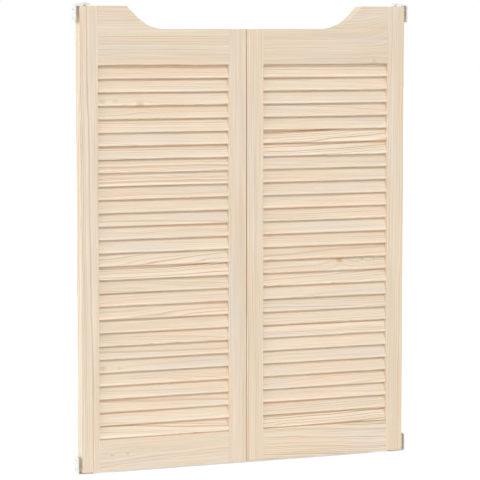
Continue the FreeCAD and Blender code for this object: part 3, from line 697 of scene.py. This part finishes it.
def slat_material(side, pine):
    """Pine for one leaf's slats, each slat cut from a log of its own.

    Slats are stacked one pitch apart and leaned over by the tilt, so the distance along their
    common normal tells them apart: it grows by the pitch times the sine of the tilt from one slat
    to the next.
    """
    material, sheet = new_material(side + "_slats_pine")
    x, y, z = place_in_frame(sheet)
    sine, cosine = math.sin(SLAT_TILT), math.cos(SLAT_TILT)
    back = sheet.scaled(y, 1.0, -SLAT_Y / MM)
    drop = sheet.scaled(z, -1.0, FIRST_SLAT_Z / MM)
    inward = sheet.math("ADD", sheet.scaled(back, cosine), sheet.scaled(drop, sine))
    downward = sheet.math("SUBTRACT", sheet.scaled(drop, cosine), sheet.scaled(back, sine))
    pitch = SLAT_PITCH / MM
    number = sheet.math("ROUND", sheet.scaled(inward, 1 / (pitch * sine)))
    across = sheet.math("SUBTRACT", downward, sheet.scaled(number, pitch * cosine))
    depth = sheet.math("SUBTRACT", inward, sheet.scaled(number, pitch * sine))

    seed = sheet.scaled(number, 1.0, SLAT_SEEDS[side])
    heart = sheet.split(sheet.chance(sheet.math("ADD", seed, HEART_CHANCE), "Color"))
    lean = sheet.split(sheet.chance(sheet.math("ADD", seed, LEAN_CHANCE), "Color"))
    aside = sheet.between(heart[0], -HEART_ASIDE, HEART_ASIDE)
    bold = 0.0
    for place, more in BOLD_SLATS[side].items():
        bold = sheet.scaled(sheet.math("COMPARE", number, place - 1, 0.5), more, bold)
    slat_tone = sheet.chance(sheet.math("ADD", seed, TONE_CHANCE))
    bulge, core = knots(sheet, KNOTS[side + "_slats"], x, z, True)
    figure_inputs = {
        "Along": x,
        "Across": across,
        "Depth": depth,
        "Heart across": sheet.scaled(sheet.math("SIGN", aside), HEART_LEAST, aside),
        "Heart depth": sheet.between(heart[1], *HEART_DEEP),
        "Lean across": sheet.between(lean[0], *LEAN_ACROSS),
        "Lean depth": sheet.between(lean[1], *LEAN_DEPTH),
        "Seed": seed,
        "Rings": sheet.total(sheet.between(heart[2], *SLAT_RINGS), sheet.scaled(bold, BOLD_RINGS)),
        "Lines": sheet.total(sheet.between(lean[2], *SLAT_LINES), bold),
        "Drift": 1.0,
        "Bulge": bulge,
        "Knot": core,
        "Paler": sheet.total(
            sheet.between(slat_tone, *SLAT_PALER),
            # Painted highlight on the rounded lower edge, partly real paler sanded wood.
            sheet.rise(across, *NOSE_HIGHLIGHT_RISE, 0.0, NOSE_PAINTED_HIGHLIGHT),
            sheet.scaled(bold, BOLD_PALER),
        ),
        "Deeper": sheet.scaled(bold, BOLD_DEEPER, PLAIN_DEEPER),
    }
    finish_pine(sheet, pine, figure_inputs)
    return material


# Beech: marks to a millimetre along the three axes, where in their noise the flecks begin and are
# full, the most that a fleck covers, and how strong the beech's colour is in the dark ground and
# in a fleck.
BEECH_FLECKS, BEECH_FIBRES = (0.35, 2.2, 2.2), (0.08, 5.0, 5.0)
FLECK_RISE = (0.60, 0.72)
FLECK_SHARE = 0.5
DARK_BEECH, FLECK_BEECH = 0.86, 0.55
BEECH_ROUGHNESS = (0.5, 0.7)
BEECH_RELIEF = 0.05 * MM

# Metal: marks to a millimetre of its clouds, where in their noise the dull ones begin and are
# full, the strength of the dull colour, and what grain and clouds add to the roughness at most.
METAL_CLOUDS = (0.11, 0.11, 0.11)
DULL_RISE = (0.35, 0.7)
DULL_METAL = 0.84
GRAIN_ROUGH, CLOUD_ROUGH = 0.08, 0.05

# Plastic and enamel: the same for their mottle, with the warm colour's share of each channel.
MOTTLE = (0.2, 0.2, 0.2)
MOTTLE_RISE = (0.3, 0.7)
WARM_PARTS = (0.94, 0.93, 0.90)
SKIN_ROUGH = 0.075


def beech_material(hardware):
    """Beech: a plain pinkish ground with short dark flecks drawn out along the dowel."""
    material, sheet = new_material("beech")
    point = place_in_frame(sheet)
    fleck = sheet.marks(point, BEECH_FLECKS, detail=1.0)
    fibre = sheet.marks(point, BEECH_FIBRES, detail=2.0)
    ground = sheet.blend(fibre, rgba(hardware.beech), rgba(hardware.beech, DARK_BEECH))
    dark = sheet.rise(fleck, *FLECK_RISE, 0.0, FLECK_SHARE)
    colour = sheet.blend(dark, ground, rgba(hardware.beech, FLECK_BEECH))
    roughness = sheet.between(fibre, *BEECH_ROUGHNESS)
    close_material(sheet, colour, roughness, fibre, BEECH_RELIEF)
    return material


def metal_material(name, colour, grain, roughness, relief):
    """Metal with dull clouds and a fine grain of so many marks to a millimetre along each axis."""
    material, sheet = new_material(name)
    point = place_in_frame(sheet)
    fine = sheet.marks(point, grain, detail=3.0)
    cloud = sheet.marks(point, METAL_CLOUDS, detail=2.0)
    tint = sheet.blend(sheet.rise(cloud, *DULL_RISE), rgba(colour), rgba(colour, DULL_METAL))
    rough = sheet.total(
        sheet.between(fine, roughness - GRAIN_ROUGH, roughness + GRAIN_ROUGH),
        sheet.between(cloud, -CLOUD_ROUGH, CLOUD_ROUGH),
    )
    close_material(sheet, tint, rough, fine, relief, Metallic=1.0)
    return material


def smooth_material(name, colour, skin_marks, roughness, relief):
    """Plastic or enamel: a faint warm mottle, and a skin of so many marks to a millimetre."""
    material, sheet = new_material(name)
    point = place_in_frame(sheet)
    skin = sheet.marks(point, (skin_marks,) * 3, detail=2.0)
    mottle = sheet.marks(point, MOTTLE, detail=2.0)
    warm = rgba([share * part for share, part in zip(WARM_PARTS, colour)])
    tint = sheet.blend(sheet.rise(mottle, *MOTTLE_RISE), rgba(colour), warm)
    rough = sheet.between(skin, roughness - SKIN_ROUGH, roughness + SKIN_ROUGH)
    close_material(sheet, tint, rough, skin, relief)
    return material


def wire_path():
    """Middle line of the return spring, as points from the pivot line at the foot of its coil.

    A level run crosses the pin to the coil's radius, then the coil climbs one pitch a turn, and a
    run stands up from its end. The corners between them are rounded by running means over three
    points.
    """
    coil_tall = COIL_TURNS * COIL_PITCH
    foot_x = np.arange(-PIN_RADIUS, COIL_RADIUS, WIRE_STEP)
    foot = np.column_stack([foot_x, 0 * foot_x, 0 * foot_x])
    coil_long = COIL_TURNS * math.hypot(2 * math.pi * COIL_RADIUS, COIL_PITCH)
    turn = np.linspace(0, 2 * math.pi * COIL_TURNS, round(coil_long / WIRE_STEP))
    climb = coil_tall * turn / turn[-1]
    coil = np.column_stack([COIL_RADIUS * np.cos(turn), COIL_RADIUS * np.sin(turn), climb])
    rise = np.arange(WIRE_STEP, TANG_TALL + WIRE_STEP / 2, WIRE_STEP)
    tang = np.column_stack([COIL_RADIUS + 0 * rise, 0 * rise, coil_tall + rise])
    path = np.concatenate([foot, coil, tang])
    for _ in range(CORNER_MEANS):
        longer = np.pad(path, ((1, 1), (0, 0)), "reflect", reflect_type="odd")
        path = (longer[:-2] + longer[1:-1] + longer[2:]) / 3
    return path


def wire_sides(path):
    """Two directions across the wire at each point of its path, square to it and to each other.

    The first is upright along the foot and the coil, and swings over to the x axis in the last
    few millimetres before the run that stands up.
    """
    along = np.gradient(path, axis=0)
    along /= np.linalg.norm(along, axis=1, keepdims=True)
    swing_end = len(path) - round(TANG_TALL / WIRE_STEP) - SWING_SHORT
    swung = (np.arange(len(path)) - swing_end + SWING_RINGS) / SWING_RINGS
    share = np.clip(swung, 0, 1)[:, None]
    lead = (1 - share) * np.array([0, 0, 1.0]) + share * np.array([1.0, 0, 0])
    first = lead - (lead * along).sum(axis=1, keepdims=True) * along
    first /= np.linalg.norm(first, axis=1, keepdims=True)
    return first, np.cross(along, first)


def make_spring(side):
    """A return spring: a circle of the wire's radius carried along its path, closed at both ends.

    In use its foot stays with the pin and its upper end goes round with the leaf, so the coil
    twists; this mesh is made at rest.
    """
    low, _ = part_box(f"{side}_return_spring")
    washer_low, washer_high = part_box(f"{side}_thrust_washer")
    pivot = (washer_low + washer_high) / 2
    foot_z = low.z + WIRE_RADIUS
    path = wire_path()
    first, second = wire_sides(path)
    angle = np.arange(WIRE_SIDES) * 2 * math.pi / WIRE_SIDES
    across, up = np.cos(angle)[None, :, None], np.sin(angle)[None, :, None]
    points = path[:, None, :] + WIRE_RADIUS * (across * first[:, None, :] + up * second[:, None, :])
    mirror = 1 if side == "right" else -1
    points = points * np.array([mirror, 1, 1]) + np.array([pivot.x, pivot.y, foot_z])
    number = np.arange(len(path) * WIRE_SIDES).reshape(len(path), WIRE_SIDES)
    beside = np.roll(number, -1, axis=1)
    faces = np.stack([number[:-1], beside[:-1], beside[1:], number[1:]], axis=-1).reshape(-1, 4)
    caps = [number[0, ::-1].tolist(), number[-1].tolist()]
    mesh = bpy.data.meshes.new(f"{side}_twisting_spring")
    mesh.from_pydata(points.reshape(-1, 3).tolist(), [], faces.tolist() + caps)
    shell = bmesh.new()
    shell.from_mesh(mesh)
    bmesh.ops.recalc_face_normals(shell, faces=shell.faces)
    for face in shell.faces:
        face.smooth = len(face.verts) == 4
    shell.to_mesh(mesh)
    shell.free()
    spring = link(bpy.data.objects.new(f"{side}_twisting_spring", mesh))
    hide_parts(f"{side}_return_spring")
    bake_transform(spring)
    return spring


def give(node_name, material):
    """Puts a material on a node of the frame."""
    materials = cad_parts[node_name].data.materials
    materials.clear()
    materials.append(material)


class CAFE_OT_finish_stiles(Operator):
    """Give each stile its own upright pine"""

    bl_idname = "cafe_doors.finish_stiles"
    bl_label = "Finish stiles"

    def execute(self, context):
        pine = context.scene.cafe_doors.pine
        for side in SIDES:
            for kind in ("outer_stile", "meeting_stile"):
                name = f"{side}_{kind}"
                give(name, board_material(name, pine, False))
        return {"FINISHED"}


class CAFE_OT_finish_rails(Operator):
    """Give each rail its own level pine"""

    bl_idname = "cafe_doors.finish_rails"
    bl_label = "Finish rails"

    def execute(self, context):
        pine = context.scene.cafe_doors.pine
        for side in SIDES:
            for kind in ("top_rail", "bottom_rail"):
                name = f"{side}_{kind}"
                give(name, board_material(name, pine, True))
        return {"FINISHED"}


class CAFE_OT_finish_slats(Operator):
    """Give the slats pine that differs from slat to slat"""

    bl_idname = "cafe_doors.finish_slats"
    bl_label = "Finish slats"

    def execute(self, context):
        pine = context.scene.cafe_doors.pine
        for side in SIDES:
            material = slat_material(side, pine)
            for name in SLAT_NODES:
                if name.startswith(side):
                    give(name, material)
        return {"FINISHED"}


class CAFE_OT_finish_dowels(Operator):
    """Give the dowels their beech"""

    bl_idname = "cafe_doors.finish_dowels"
    bl_label = "Finish dowels"

    def execute(self, context):
        material = beech_material(context.scene.cafe_doors.hardware)
        for side in SIDES:
            give(side + "_dowels", material)
        return {"FINISHED"}


class CAFE_OT_finish_pivots(Operator):
    """Give the brackets their enamel and the shoes, pins and screws their metals"""

    bl_idname = "cafe_doors.finish_pivots"
    bl_label = "Finish pivots"

    def execute(self, context):
        hardware = context.scene.cafe_doors.hardware
        enamel = smooth_material(
            "white_enamel", hardware.enamel, skin_marks=0.9, roughness=0.38, relief=0.03 * MM
        )
        plate = metal_material(
            "zinc_plate", hardware.zinc, grain=(2.0, 2.0, 2.0), roughness=0.40, relief=0.006 * MM
        )
        turned = metal_material(
            "turned_steel", hardware.steel, grain=(0.2, 0.2, 9.0), roughness=0.30, relief=0.004 * MM
        )
        bright = metal_material(
            "bright_screws", hardware.zinc, grain=(5.0, 5.0, 5.0), roughness=0.28, relief=0.003 * MM
        )
        finishes = {
            "lower_bracket": enamel,
            "upper_bracket": enamel,
            "pivot_shoe": plate,
            "lower_pivot_pin": turned,
            "upper_pivot_pin": turned,
            "shoe_screws": bright,
        }
        for side in SIDES:
            for kind, material in finishes.items():
                give(f"{side}_{kind}", material)
        return {"FINISHED"}


class CAFE_OT_make_springs(Operator):
    """Wind the return springs, made at rest; in use they twist as the leaves swing"""

    bl_idname = "cafe_doors.make_springs"
    bl_label = "Wind springs"

    def execute(self, context):
        colour = context.scene.cafe_doors.hardware.spring
        wire = metal_material(
            "spring_wire", colour, grain=(4.0, 4.0, 4.0), roughness=0.38, relief=0.004 * MM
        )
        for side in SIDES:
            make_spring(side).data.materials.append(wire)
        return {"FINISHED"}


class CAFE_OT_finish_bushes(Operator):
    """Give the bushes, sockets and washers their acetal"""

    bl_idname = "cafe_doors.finish_bushes"
    bl_label = "Finish bushes"

    def execute(self, context):
        colour = context.scene.cafe_doors.hardware.acetal
        material = smooth_material(
            "acetal", colour, skin_marks=6.0, roughness=0.435, relief=0.01 * MM
        )
        for side in SIDES:
            for kind in ("barrel_bushes", "upper_socket", "thrust_washer"):
                give(f"{side}_{kind}", material)
        return {"FINISHED"}


def link(thing):
    bpy.context.scene.collection.objects.link(thing)
    return thing


# The floor's paint, and its glow where the camera sees it. Then the height at which the sky's
# light is all the zenith's, and where to the left its gain starts and is full, as parts of a unit
# direction, and the width of the camera's film in millimetres.
FLOOR_PAINT = (0.90, 0.90, 0.90, 1.0)
FLOOR_GLOW = 0.52
ZENITH_FROM = 0.7
GAIN_RISE = (-0.2, -1.0)
FILM_WIDE = 36.0


def seen_directly(sheet):
    """1 where the ray comes from the camera, a reflection or through a clear piece, else 0."""
    path = sheet.tree.nodes.new("ShaderNodeLightPath").outputs
    seen = sheet.math("MAXIMUM", path["Is Camera Ray"], path["Is Glossy Ray"])
    return sheet.math("MAXIMUM", seen, path["Is Transmission Ray"])


def make_floor(stage):
    """A level square under the doors, white to the camera apart from the soft shadow it keeps."""
    half = stage.floor_size / 2
    corners = np.array([(-half, -half), (half, -half), (half, half), (-half, half)])
    level = np.column_stack([corners, np.zeros(len(corners))])
    mesh = bpy.data.meshes.new("floor")
    mesh.from_pydata(level.tolist(), [], [(0, 1, 2, 3)])
    floor = link(bpy.data.objects.new("floor", mesh))
    material, sheet = new_material("floor_white")
    strength = sheet.scaled(seen_directly(sheet), FLOOR_GLOW)
    lit = sheet.add("ShaderNodeBsdfDiffuse", {"Color": FLOOR_PAINT})
    glow = sheet.add("ShaderNodeEmission", {"Color": WHITE, "Strength": strength})
    sheet.end("ShaderNodeOutputMaterial", sheet.add("ShaderNodeAddShader", {0: lit, 1: glow}))
    mesh.materials.append(material)


def make_sky(stage):
    """An even sky that is plain white to the camera and gives the doors a level light."""
    world = bpy.data.worlds.new("even_sky")
    world.use_nodes = True
    world.node_tree.nodes.clear()
    bpy.context.scene.world = world
    sheet = Sheet(world.node_tree)
    seen = seen_directly(sheet)
    right, _, up = sheet.split(sheet.add("ShaderNodeTexCoord", {}, "Generated"))
    height = sheet.math("ABSOLUTE", up)
    level = sheet.rise(height, 0.0, ZENITH_FROM, stage.horizon, stage.zenith)
    leftward = sheet.rise(right, *GAIN_RISE, 1.0, stage.left_gain)
    light = sheet.math("MULTIPLY", level, leftward)
    unseen = sheet.scaled(seen, -1.0, 1.0)
    strength = sheet.math("MULTIPLY_ADD", light, unseen, seen)
    back = sheet.add("ShaderNodeBackground", {"Color": WHITE, "Strength": strength})
    sheet.end("ShaderNodeOutputWorld", back)


def make_lamp(name, direction, spread, strength, colour):
    """A far, wide lamp whose light comes from direction and fills the angle spread."""
    data = bpy.data.lights.new(name, "SUN")
    data.angle = spread
    data.energy = strength
    data.color = colour
    lamp = link(bpy.data.objects.new(name, data))
    lamp.rotation_mode = "QUATERNION"
    lamp.rotation_quaternion = Vector(direction).to_track_quat("Z", "Y")


def make_camera(stage):
    """The camera, level across the frame, turned to the right and dipped."""
    data = bpy.data.cameras.new("camera")
    data.sensor_width = FILM_WIDE
    data.lens = stage.camera_lens
    camera = link(bpy.data.objects.new("camera", data))
    camera.location = stage.camera_place
    camera.rotation_euler = (math.pi / 2 - stage.camera_dip, 0.0, -stage.camera_turn)
    bpy.context.scene.camera = camera


class CAFE_OT_set_stage(Operator):
    """Set the floor, the sky, the lamps and the camera round the doors"""

    bl_idname = "cafe_doors.set_stage"
    bl_label = "Set stage"

    def execute(self, context):
        stage = context.scene.cafe_doors.stage
        make_floor(stage)
        make_sky(stage)
        make_lamp(
            "key", stage.key_from, stage.key_spread, stage.key_strength, stage.key_colour
        )
        make_lamp(
            "side", stage.side_from, stage.side_spread, stage.side_strength, stage.side_colour
        )
        make_camera(stage)
        context.scene.view_settings.view_transform = "Standard"
        return {"FINISHED"}


class CAFE_PT_doors(Panel):
    """Sizes, colours and steps for the cafe doors"""

    bl_idname = "CAFE_PT_doors"
    bl_label = "Cafe Doors"
    bl_space_type = "VIEW_3D"
    bl_region_type = "UI"
    bl_category = "Cafe Doors"

    def draw(self, context):
        layout = self.layout
        settings = context.scene.cafe_doors
        groups = {"Pine": settings.pine, "Pivots": settings.hardware, "Stage": settings.stage}
        for title, group in groups.items():
            box = layout.box()
            box.label(text=title)
            for name in group.bl_rna.properties.keys():
                if name not in ("rna_type", "name"):
                    box.prop(group, name)
        for operator in OPERATORS:
            layout.operator(operator.bl_idname)


OPERATORS = (
    CAFE_OT_set_stage,
    CAFE_OT_finish_stiles,
    CAFE_OT_finish_rails,
    CAFE_OT_finish_slats,
    CAFE_OT_finish_dowels,
    CAFE_OT_finish_pivots,
    CAFE_OT_make_springs,
    CAFE_OT_finish_bushes,
)
SETTINGS = (PineSettings, HardwareSettings, StageSettings, CafeDoorSettings)
CLASSES = (*SETTINGS, *OPERATORS, CAFE_PT_doors)


def register():
    for cls in CLASSES:
        bpy.utils.register_class(cls)
    bpy.types.Scene.cafe_doors = PointerProperty(type=CafeDoorSettings)


def unregister():
    del bpy.types.Scene.cafe_doors
    for cls in reversed(CLASSES):
        bpy.utils.unregister_class(cls)


def main():
    """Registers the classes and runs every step."""
    register()
    bpy.ops.cafe_doors.set_stage()
    bpy.ops.cafe_doors.finish_stiles()
    bpy.ops.cafe_doors.finish_rails()
    bpy.ops.cafe_doors.finish_slats()
    bpy.ops.cafe_doors.finish_dowels()
    bpy.ops.cafe_doors.finish_pivots()
    bpy.ops.cafe_doors.make_springs()
    bpy.ops.cafe_doors.finish_bushes()


if __name__ == "__main__":
    main()
